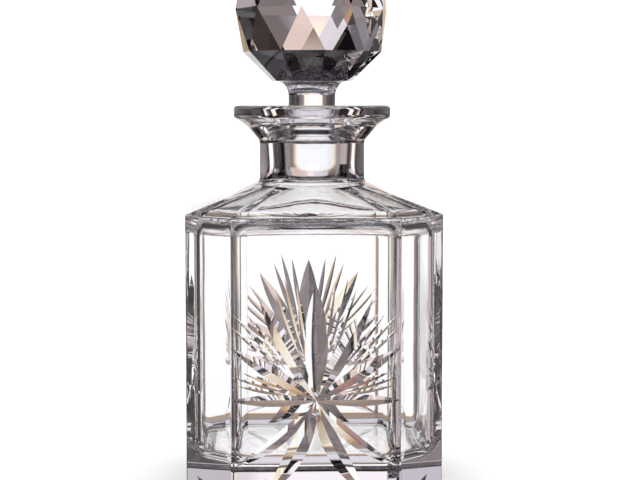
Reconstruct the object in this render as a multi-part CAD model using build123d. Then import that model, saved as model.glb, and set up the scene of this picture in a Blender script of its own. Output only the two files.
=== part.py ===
from build123d import *
import os
from math import atan2, cos, degrees, radians, sin, tan

# Square spirit decanter in cut lead crystal, in two loose pieces of glass:
#   decanter_body  a thick square bottle with bevelled corners, a round neck, a trumpet lip
#                  and the same star of mitre cuts on each of its four faces
#   stopper        a ball cut in flat facets, with a round stem and a ground taper plug
# Millimetres, +Z up, origin at the middle of the underside, front face towards -Y.

# ---- driving dimensions -------------------------------------------------------------------
body_width = 100.0        # across two opposite faces
bevel_leg = 17.8          # what the 45 degree corner bevels take off each face
shoulder_height = 110.0   # top edge of the faces and bevels
edge_radius = 1.2         # polished upright edges of the square body
rim_radius = 0.9          # polished edge between the faces and the shoulder
base_radius = 2.0         # rounding around the underside

neck_foot = 121.8         # where the shoulder has turned round and meets the neck
neck_radius = 21.3
neck_blend = 1.5          # between the shoulder and the neck
neck_top = 137.8          # where the lip starts to flare
flare_radius = 26.4       # middle of the flare, which is steeper below than above
flare_height = 143.8
lip_radius = 31.8
lip_nose = 147.2          # where the underside of the lip meets its rim
lip_top = 152.0
flare_blends = (2.5, 9.0)  # between the neck and the flare, and in the middle of the flare
rim_rounding = (2.0, 1.6)  # under the rim and over it

wall = 6.5                # side walls of the cavity
floor_thickness = 14.0
ceiling_height = 106.7    # top edge of the cavity walls
cavity_corner = 9.0       # rounding of the cavity's upright corners
floor_radius = 7.5        # rounding around the cavity floor
ceiling_radius = 7.0      # rounding between the cavity walls and its ceiling
throat_radius = 21.0      # where the ceiling has turned round and meets the throat
throat_blend = 12.0       # flare of the throat into the socket

socket_foot_radius = 10.9  # ground socket for the plug, where its cone meets the ceiling
socket_top_radius = 12.4
socket_top = 147.0
mouth_radius = 15.2       # the mouth opens above the socket
mouth_blend = 3.0

plug_clearance = 0.06     # radial, between the ground plug and its socket
plug_foot = 123.0
plug_foot_blend = 1.5
plug_shoulder = 146.6
plug_shoulder_blend = 1.4
stem_radius = 9.5
stem_foot = 149.0
stem_blend = 5.6

facet_count = 10          # facets around the ball
facet_turn = 9.0          # degrees, from the front to the first facet corner on the right
ball_foot = 161.7         # lowest facet ring, where the flare of the stem ends
ball_foot_radius = 16.1   # its corner radius
ball_ring = 173.4         # ring between the sloping band and the upright triangles
ball_ring_radius = 28.1
ball_middle = 190.2       # girdle of the ball
ball_radius = 31.0

hub_height = 40.6         # middle of the star
cut_angle = 58.0          # half angle of the mitre wheel's edge
bend_radius = 78.0        # radius of the bent lower leaves, seen from the front
hub_overlap = 1.2         # each leaf runs this far past the middle of the star

# Straight leaves of the star: heading in degrees from upright, length, greatest width.
straight_leaves = [(0, 44.5, 9.0), (29, 44.5, 6.4), (58, 38.0, 5.4), (90, 32.5, 4.6)]
# Bent leaves below the hub: heading where they leave the hub, length, greatest width.
bent_leaves = [(145, 40.5, 4.6), (168, 41.5, 7.2)]
# Fans of fine cuts between the leaves: heading of the middle cut, outer radius.
fans = [(14.5, 48.5), (43.5, 45.0), (74, 32.0)]
fan_spread = 5.2          # degrees between neighbouring fine cuts
fan_start = 0.36          # share of the fan's radius where its cuts begin
fine_width = 1.9

half_width = body_width / 2
bevel_distance = (body_width - bevel_leg) / 2 ** 0.5
shoulder_slope = (neck_foot - shoulder_height) / (half_width - neck_radius)
throat_foot = ceiling_height + (half_width - wall - throat_radius) * shoulder_slope
socket_foot = throat_foot + (throat_radius - socket_foot_radius) * shoulder_slope


def turned(points, blends):
    """Solid of revolution from a closed outline of (radius, height), blends on its corners."""
    outline = FilletPolyline(*[(r, 0, z) for r, z in points], radius=blends, close=True)
    return revolve(make_face(outline), Axis.Z)


def bevelled_square(half, bevel, corner):
    """Outline of a square of half width half, bevelled at bevel from its middle."""
    flat = bevel * 2 ** 0.5 - half
    points = []
    for turn in range(4):
        points += [Vector(flat, -half).rotate(Axis.Z, 90 * turn),
                   Vector(half, -flat).rotate(Axis.Z, 90 * turn)]
    return FilletPolyline(*points, radius=corner, close=True).wire()


def square_to_round(outline, foot, top, radius, neck):
    """Upright walls on outline from foot to top, drawn in to a circle of radius at neck."""
    starts = [edge.position_at(0) for edge in outline.order_edges()]
    angles = [degrees(atan2(point.Y, point.X)) for point in starts]
    arcs = [Edge.make_circle(radius, start_angle=a, end_angle=a + (b - a) % 360)
            for a, b in zip(angles, angles[1:] + angles[:1])]
    rings = [outline.moved(Pos(0, 0, foot)), outline.moved(Pos(0, 0, top)),
             Wire(arcs).moved(Pos(0, 0, neck))]
    return Solid.make_loft(rings, ruled=True)


def round_edges(shape, height, radius):
    """Fillet of the edges that lie level at height."""
    level = shape.edges().filter_by_position(Axis.Z, height - 0.01, height + 0.01)
    return fillet(level, radius)


# ---- outside of the bottle ----------------------------------------------------------------
def outer_glass():
    outline = bevelled_square(half_width, bevel_distance, edge_radius)
    body = square_to_round(outline, 0, shoulder_height, neck_radius, neck_foot)
    neck = turned(
        [
            (0, neck_foot - 2),
            (neck_radius, neck_foot - 2),
            (neck_radius, neck_top),
            (flare_radius, flare_height),
            (lip_radius, lip_nose),
            (lip_radius, lip_top),
            (0, lip_top),
        ],
        [0, 0, *flare_blends, *rim_rounding, 0],
    )
    glass = round_edges(body + neck, neck_foot, neck_blend)
    glass = round_edges(glass, shoulder_height, rim_radius)
    return round_edges(glass, 0, base_radius)


# ---- inside of the bottle -----------------------------------------------------------------
def hollow():
    outline = bevelled_square(half_width - wall, bevel_distance - wall, cavity_corner)
    room = square_to_round(outline, floor_thickness, ceiling_height, throat_radius, throat_foot)
    room = round_edges(room, ceiling_height, ceiling_radius)
    room = round_edges(room, floor_thickness, floor_radius)
    throat = turned(
        [
            (0, throat_foot - 1),
            (throat_radius, throat_foot - 1),
            (throat_radius, throat_foot),
            (socket_foot_radius, socket_foot),
            (socket_top_radius, socket_top),
            (mouth_radius, lip_top + 1),
            (0, lip_top + 1),
        ],
        [0, 0, 0, throat_blend, mouth_blend, 0, 0],
    )
    return room + throat


def socket_radius(height):
    """Radius of the ground socket's cone at a height."""
    share = (height - socket_foot) / (socket_top - socket_foot)
    return socket_foot_radius + (socket_top_radius - socket_foot_radius) * share


# ---- star cuts ----------------------------------------------------------------------------
def mitre_cut(heading, start, length, width, bend=0.0):
    """The glass that a V-edged wheel takes out below the XY plane.

    The cut begins start away from the origin along heading, in degrees clockwise from +Y,
    and is length long. bend is the radius of its path, negative when it turns anticlockwise.
    The wheel is a V-section ring that touches down in the middle of the cut. Its axis leans
    over by tilt from the normal of the glass, which is 90 degrees for a straight cut.
    """
    depth = width / 2 / tan(radians(cut_angle))
    half = length / 2
    tilt = atan2(2 * depth * abs(bend), half ** 2) if bend else radians(90)
    ring_radius = half ** 2 * sin(tilt) / (2 * depth)

    sweep = degrees(half / bend) if bend else 0.0
    chord = 2 * bend * sin(radians(sweep / 2)) if bend else half
    ahead = Vector(0, 1, 0)
    middle = (ahead.rotate(Axis.Z, -heading) * start
              + ahead.rotate(Axis.Z, -heading - sweep / 2) * chord)
    outward = Vector(-1 if bend >= 0 else 1, 0, 0).rotate(Axis.Z, -heading - sweep)
    up = Vector(0, 0, 1)
    reach = outward * cos(tilt) - up * sin(tilt)
    spindle = outward * sin(tilt) + up * cos(tilt)
    touch = middle - up * depth

    flank = (depth + 1.0) / cos(radians(cut_angle))
    edge = Vector(ring_radius, 0, 0)
    lift = Vector(-sin(tilt), 0, cos(tilt))
    section = Polyline(edge, *[edge + lift.rotate(Axis.Y, side * cut_angle) * flank
                               for side in (-1, 1)], close=True)
    ring = revolve(make_face(section), Axis.Z)
    wheel = Plane(touch - reach * ring_radius, x_dir=reach, z_dir=spindle) * ring
    slab = Pos(middle.X, middle.Y, 0) * Box(2 * length, 2 * length, 2 * depth + 1)
    return wheel & slab


def star_cuts():
    """All the cuts of one star, its hub at the origin and its face in the XY plane."""
    right = []
    for heading, length, width in straight_leaves:
        right.append(mitre_cut(heading, -hub_overlap, length + hub_overlap, width))
    for heading, length, width in bent_leaves:
        right.append(mitre_cut(heading, -hub_overlap, length + hub_overlap, width, -bend_radius))
    for heading, radius in fans:
        for step in (-1, 0, 1):
            reach = radius * (1 if step == 0 else 0.94)
            first = reach * fan_start
            right.append(mitre_cut(heading + step * fan_spread, first, reach - first, fine_width))
    return right + [mirror(cut, Plane.YZ) for cut in right[1:]]


def decanter_body():
    star = star_cuts()
    cutter = star[0]
    for cut in star[1:]:
        cutter += cut
    front = Plane((0, -half_width, hub_height), x_dir=(1, 0, 0), z_dir=(0, -1, 0))
    glass = outer_glass() - hollow()
    for turn in range(4):
        glass -= Rot(0, 0, 90 * turn) * (front * cutter)
    return glass


# ---- stopper ------------------------------------------------------------------------------
def ball_facets():
    """Flat facets of the ball, mirrored above and below its girdle."""
    pitch = 360 / facet_count

    def ring(radius, height, turn):
        start = facet_turn - 90 + turn
        return [Vector(radius, 0, height).rotate(Axis.Z, start + pitch * k)
                for k in range(facet_count)]

    def facet(*corners):
        return Face(Wire.make_polygon(corners))

    girdle = ring(ball_radius, ball_middle, pitch / 2)
    facets = []
    for side in (-1, 1):
        waist = ring(ball_ring_radius, ball_middle + side * (ball_middle - ball_ring), 0)
        table = ring(ball_foot_radius, ball_middle + side * (ball_middle - ball_foot), 0)
        facets.append(facet(*table))
        for k in range(facet_count):
            after = (k + 1) % facet_count
            facets += [facet(table[k], table[after], waist[after], waist[k]),
                       facet(waist[k], waist[after], girdle[k]),
                       facet(waist[after], girdle[after], girdle[k])]
    return facets


def stopper():
    ball = Solid(Shell(ball_facets()))
    shank = turned(
        [
            (0, plug_foot),
            (socket_radius(plug_foot) - plug_clearance, plug_foot),
            (socket_radius(plug_shoulder) - plug_clearance, plug_shoulder),
            (stem_radius, stem_foot),
            (stem_radius, ball_foot),
            (stem_radius + stem_blend, ball_foot),
            (stem_radius + stem_blend, ball_foot + 1),
            (0, ball_foot + 1),
        ],
        [0, plug_foot_blend, plug_shoulder_blend, 1.0, stem_blend, 0, 0, 0],
    )
    return ball + shank


os.makedirs("parts", exist_ok=True)
for name, piece in (("decanter_body", decanter_body()), ("stopper", stopper())):
    piece.label = name
    export_step(piece, f"parts/{name}.step")
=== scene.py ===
"""Cut crystal decanter with its faceted ball stopper, on a white floor that sweeps up into a white wall.

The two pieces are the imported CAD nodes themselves. This script gives them their glass, and sets up the
floor, the light and the camera. Metres, +Z up, front face towards -Y.
"""
import bpy
from math import atan2, cos, radians, sin
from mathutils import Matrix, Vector

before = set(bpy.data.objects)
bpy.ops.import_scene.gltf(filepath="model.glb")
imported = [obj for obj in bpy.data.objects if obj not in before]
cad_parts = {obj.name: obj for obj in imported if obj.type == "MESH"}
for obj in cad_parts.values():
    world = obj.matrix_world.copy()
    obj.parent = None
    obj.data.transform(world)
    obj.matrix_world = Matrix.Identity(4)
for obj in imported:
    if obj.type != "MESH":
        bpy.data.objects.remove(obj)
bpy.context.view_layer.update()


# ---- node helpers -------------------------------------------------------------------------
class Nodes:
    """Short calls for making nodes in one tree."""

    def __init__(self, tree):
        self.tree = tree
        tree.nodes.clear()

    def add(self, kind, props=None, **inputs):
        node = self.tree.nodes.new(kind)
        for name, value in (props or {}).items():
            setattr(node, name, value)
        for name, value in inputs.items():
            self.put(node, name, value)
        return node

    def put(self, node, name, value):
        key = int(name[1:]) if name[1:].isdigit() else name.replace("_", " ")   # i0 is input 0
        socket = node.inputs[key]
        if isinstance(value, bpy.types.NodeSocket):
            self.tree.links.new(value, socket)
        else:
            socket.default_value = value

    def math(self, operation, *values):
        inputs = {f"i{k}": value for k, value in enumerate(values)}
        return self.add("ShaderNodeMath", {"operation": operation}, **inputs).outputs[0]

    def step(self, value, start, end, low=0.0, high=1.0):
        """Smooth step from low to high while value goes from start to end."""
        node = self.add("ShaderNodeMapRange", {"interpolation_type": "SMOOTHSTEP"}, i0=value,
                        i1=start, i2=end, i3=low, i4=high)
        return node.outputs[0]


# ---- glass --------------------------------------------------------------------------------
GLASS_TINT = (0.985, 0.988, 1.0, 1.0)
GLASS_INDEX = 1.545                 # lead crystal
WAVE = {"Scale": 38.0, "Detail": 1.0}        # waviness of the polished surfaces
WAVE_BUMP = {"Strength": 0.2, "Distance": 0.0004}
GRAIN = {"Scale": 2600.0, "Detail": 2.0}     # grain of the ground surfaces
GRAIN_STRENGTH, GRAIN_DEPTH = 0.12, 0.00005
GROUND_ROUGHNESS = 0.06
PLUG_HEIGHTS = (0.1240, 0.1468)     # foot and top of the stopper's ground taper
SOCKET_HEIGHTS = (0.1276, 0.1472)   # and of its socket in the neck
GROUND_REACH = 0.0136               # radius that holds both and not the outside of the neck
GRINDING_EDGE = 0.0006


def ground_zone(n, place, foot, top):
    """1 on the ground taper between two heights near the axis, and 0 elsewhere, with soft edges."""
    xyz = n.add("ShaderNodeSeparateXYZ", i0=place)
    x, y, height = xyz.outputs
    radius = n.math("SQRT", n.math("ADD", n.math("MULTIPLY", x, x), n.math("MULTIPLY", y, y)))
    below = n.step(height, top, top - GRINDING_EDGE)
    above = n.step(height, foot, foot + GRINDING_EDGE)
    inside = n.step(radius, GROUND_REACH, GROUND_REACH - GRINDING_EDGE)
    return n.math("MULTIPLY", n.math("MULTIPLY", below, above), inside)


def crystal(name, heights):
    """Lead crystal, polished, but ground lightly matt between two heights near the axis."""
    material = bpy.data.materials.new(name)
    material.use_nodes = True
    n = Nodes(material.node_tree)
    place = n.add("ShaderNodeTexCoord").outputs["Object"]
    ground = ground_zone(n, place, *heights)
    grain = n.add("ShaderNodeTexNoise", Vector=place, **GRAIN)
    wave = n.add("ShaderNodeTexNoise", Vector=place, **WAVE)
    swell = n.add("ShaderNodeBump", Height=wave.outputs[0], **WAVE_BUMP)
    frost = n.add("ShaderNodeBump", Distance=GRAIN_DEPTH, Height=grain.outputs[0],
                  Strength=n.math("MULTIPLY", ground, GRAIN_STRENGTH), Normal=swell.outputs[0])
    glass = n.add("ShaderNodeBsdfPrincipled", Base_Color=GLASS_TINT, IOR=GLASS_INDEX,
                  Roughness=n.math("MULTIPLY", ground, GROUND_ROUGHNESS), Transmission_Weight=1.0,
                  Normal=frost.outputs[0])
    n.add("ShaderNodeOutputMaterial", Surface=glass.outputs[0])
    return material


for node, slot, heights in (("decanter_body", "crystal_body", SOCKET_HEIGHTS),
                            ("stopper", "crystal_stopper", PLUG_HEIGHTS)):
    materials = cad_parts[node].data.materials
    materials.clear()
    materials.append(crystal(slot, heights))


# ---- floor and backdrop -------------------------------------------------------------------
FLOOR_REACH = 6.0
BEND_RADIUS = 2.0                   # between floor and wall
WALL_TOP = 5.0
SWEEP_SIDES, BEND_STEPS = 96, 12
PAPER = {"Base_Color": (0.9, 0.9, 0.9, 1.0), "Roughness": 0.9,
         "Emission_Color": (1.0, 1.0, 1.0, 1.0), "Emission_Strength": 0.22}


def backdrop():
    """White floor that sweeps up into a white wall all round, too far away to show an edge.

    The glass doesn't see it. The soft boxes below stand in for it there.
    """
    profile = [(0.0, 0.0)]
    for k in range(BEND_STEPS + 1):
        turn = radians(90.0 * k / BEND_STEPS)
        profile.append((FLOOR_REACH - BEND_RADIUS + BEND_RADIUS * sin(turn),
                        BEND_RADIUS - BEND_RADIUS * cos(turn)))
    profile.append((FLOOR_REACH, WALL_TOP))
    points, faces = [], []
    for k in range(SWEEP_SIDES):
        turn = radians(360.0 * k / SWEEP_SIDES)
        points += [(r * cos(turn), r * sin(turn), z) for r, z in profile]
    for k in range(SWEEP_SIDES):
        first, second = k * len(profile), (k + 1) % SWEEP_SIDES * len(profile)
        for i in range(len(profile) - 1):
            faces.append((first + i, first + i + 1, second + i + 1, second + i))
    mesh = bpy.data.meshes.new("backdrop")
    mesh.from_pydata(points, [], faces)
    mesh.shade_smooth()
    sweep = bpy.data.objects.new("backdrop", mesh)
    sweep.visible_glossy = False
    sweep.visible_transmission = False
    sweep.visible_shadow = False
    bpy.context.scene.collection.objects.link(sweep)
    material = bpy.data.materials.new("white_backdrop")
    material.use_nodes = True
    n = Nodes(material.node_tree)
    paper = n.add("ShaderNodeBsdfPrincipled", **PAPER)
    n.add("ShaderNodeOutputMaterial", Surface=paper.outputs[0])
    mesh.materials.append(material)


backdrop()


# ---- light --------------------------------------------------------------------------------
# Soft boxes that the glass sees all round it, where they overlap the lighter one, and below them the
# floor as the glass sees it, with painted shade of the decanter's shadow on it. Angles are in degrees,
# and a heading goes anticlockwise from the back as seen from above. The fringe widens a box for red and
# narrows it for blue by that share.
BOX_SQUARENESS = 4.0                # 2 is an ellipse, and more is squarer
DAYLIGHT_SPREAD = 80.0
DAYLIGHT_STRENGTH = 2.4
ROOM = (0.006, 0.004, 0.006, 1.0)
SOFT_BOXES = [
    # heading, half width, elevation, half height, softness, fringe, colour
    (1.0, 16.6, -9.0, 18.0, 0.14, 0.035, (1.15, 1.15, 1.15)),
    (3.0, 9.5, 8.0, 11.0, 0.15, 0.020, (0.82, 0.75, 0.79)),
    (-2.5, 3.5, 12.5, 4.5, 0.30, 0.000, (1.05, 0.98, 1.02)),
    (-12.5, 8.5, 12.0, 7.5, 0.15, 0.000, (0.84, 0.66, 0.60)),
    (1.0, 26.0, -9.0, 25.0, 0.22, 0.000, (0.25, 0.205, 0.205)),
    (27.0, 6.0, 13.0, 6.0, 0.30, 0.000, (0.55, 0.52, 0.58)),
    (-27.0, 5.0, 13.0, 6.0, 0.30, 0.000, (0.55, 0.50, 0.55)),
    (180.0, 24.0, 3.0, 12.0, 0.30, 0.000, (0.90, 0.87, 0.86)),
    (90.0, 9.0, -5.0, 13.0, 0.30, 0.050, (0.86, 0.80, 0.84)),
    (45.0, 8.0, -28.0, 11.0, 0.30, 0.050, (1.05, 1.02, 1.05)),
    (225.0, 9.0, -14.0, 13.0, 0.30, 0.050, (1.05, 1.02, 1.05)),
    (135.0, 9.0, -14.0, 13.0, 0.30, 0.050, (1.05, 1.02, 1.05)),
    (-90.0, 9.0, -5.0, 13.0, 0.30, 0.050, (0.86, 0.80, 0.84)),
    (-45.0, 8.0, -24.0, 10.0, 0.30, 0.050, (1.05, 1.02, 1.05)),
    (-70.0, 24.0, -9.5, 7.5, 0.30, 0.000, (0.50, 0.42, 0.44)),
    (0.0, 24.0, -35.0, 8.0, 0.40, 0.000, (0.42, 0.33, 0.27)),
    (37.0, 13.0, 16.0, 8.0, 0.30, 0.000, (0.18, 0.16, 0.18)),
    # everything more than about 43 degrees down stands in for the floor under the decanter; its
    # lavender-grey, darker than the white floor, is painted shade of the decanter's shadow there
    (0.0, 400.0, -90.0, 47.0, 0.08, 0.000, (0.80, 0.76, 0.82)),
    (0.0, 400.0, 90.0, 26.0, 0.20, 0.000, (0.10, 0.09, 0.12)),
]


def soft_box(n, heading, rise, box):
    """Light of one box for red, green and blue."""
    side, half, middle, tall, soft, fringe, colour = box
    aside = n.math("WRAP", n.math("SUBTRACT", heading, side), 180.0, -180.0)
    across = n.math("POWER", n.math("ABSOLUTE", n.math("DIVIDE", aside, half)), BOX_SQUARENESS)
    upward = n.math("SUBTRACT", rise, middle)
    along = n.math("POWER", n.math("ABSOLUTE", n.math("DIVIDE", upward, tall)), BOX_SQUARENESS)
    reach = n.math("POWER", n.math("ADD", across, along), 1.0 / BOX_SQUARENESS)
    channels = []
    for shift, level in zip((fringe, 0.0, -fringe), colour):
        edge = 1.0 + shift
        channels.append(n.step(reach, edge + soft, edge - soft, 0.0, level))
    return n.add("ShaderNodeCombineColor", i0=channels[0], i1=channels[1], i2=channels[2]).outputs[0]


def surroundings():
    """A dark studio with soft boxes, as far-away light in the world."""
    world = bpy.data.worlds.new("studio")
    bpy.context.scene.world = world
    world.use_nodes = True
    n = Nodes(world.node_tree)
    way = n.add("ShaderNodeSeparateXYZ", i0=n.add("ShaderNodeTexCoord").outputs["Generated"])
    leftward = n.math("MULTIPLY", way.outputs[0], -1.0)
    heading = n.math("DEGREES", n.math("ARCTAN2", leftward, way.outputs[1]))
    rise = n.math("DEGREES", n.math("ARCSINE", way.outputs[2]))
    light = ROOM
    for box in SOFT_BOXES:
        light = n.add("ShaderNodeMix", {"data_type": "RGBA", "blend_type": "LIGHTEN"}, i0=1.0,
                      i6=light, i7=soft_box(n, heading, rise, box)).outputs[2]
    back = n.add("ShaderNodeBackground", Color=light, Strength=1.0)
    n.add("ShaderNodeOutputWorld", Surface=back.outputs[0])


surroundings()


def daylight():
    """Even soft light from above, which the glass doesn't mirror, for the floor and its shadow."""
    lamp = bpy.data.lights.new("daylight", "SUN")
    lamp.angle = radians(DAYLIGHT_SPREAD)
    lamp.energy = DAYLIGHT_STRENGTH
    holder = bpy.data.objects.new("daylight", lamp)
    holder.visible_glossy = False
    holder.visible_transmission = False
    bpy.context.scene.collection.objects.link(holder)


daylight()


# ---- camera -------------------------------------------------------------------------------
EYE = Vector((-0.020, -0.647, 0.154))
LENS, SENSOR_WIDTH, CLIP_START = 89.8, 36.0, 0.01
RIGHT_OF_AXIS = radians(0.29)       # how far right of the object's axis the camera looks
DOWN = radians(5.0)


def camera():
    data = bpy.data.cameras.new("camera")
    data.sensor_width = SENSOR_WIDTH
    data.lens = LENS
    data.clip_start = CLIP_START
    holder = bpy.data.objects.new("camera", data)
    holder.location = EYE
    aside = atan2(EYE.x, -EYE.y) - RIGHT_OF_AXIS
    look = Vector((-sin(aside) * cos(DOWN), cos(aside) * cos(DOWN), -sin(DOWN)))
    holder.rotation_euler = look.to_track_quat("-Z", "Y").to_euler()
    bpy.context.scene.collection.objects.link(holder)
    bpy.context.scene.camera = holder


camera()

GLASS_BOUNCES, MIRROR_BOUNCES = 32, 16
scene = bpy.context.scene
scene.view_settings.view_transform = "Standard"
scene.cycles.max_bounces = GLASS_BOUNCES
scene.cycles.transmission_bounces = GLASS_BOUNCES
scene.cycles.glossy_bounces = MIRROR_BOUNCES
scene.cycles.caustics_reflective = False
scene.cycles.caustics_refractive = False
scene.cycles.use_denoising = True
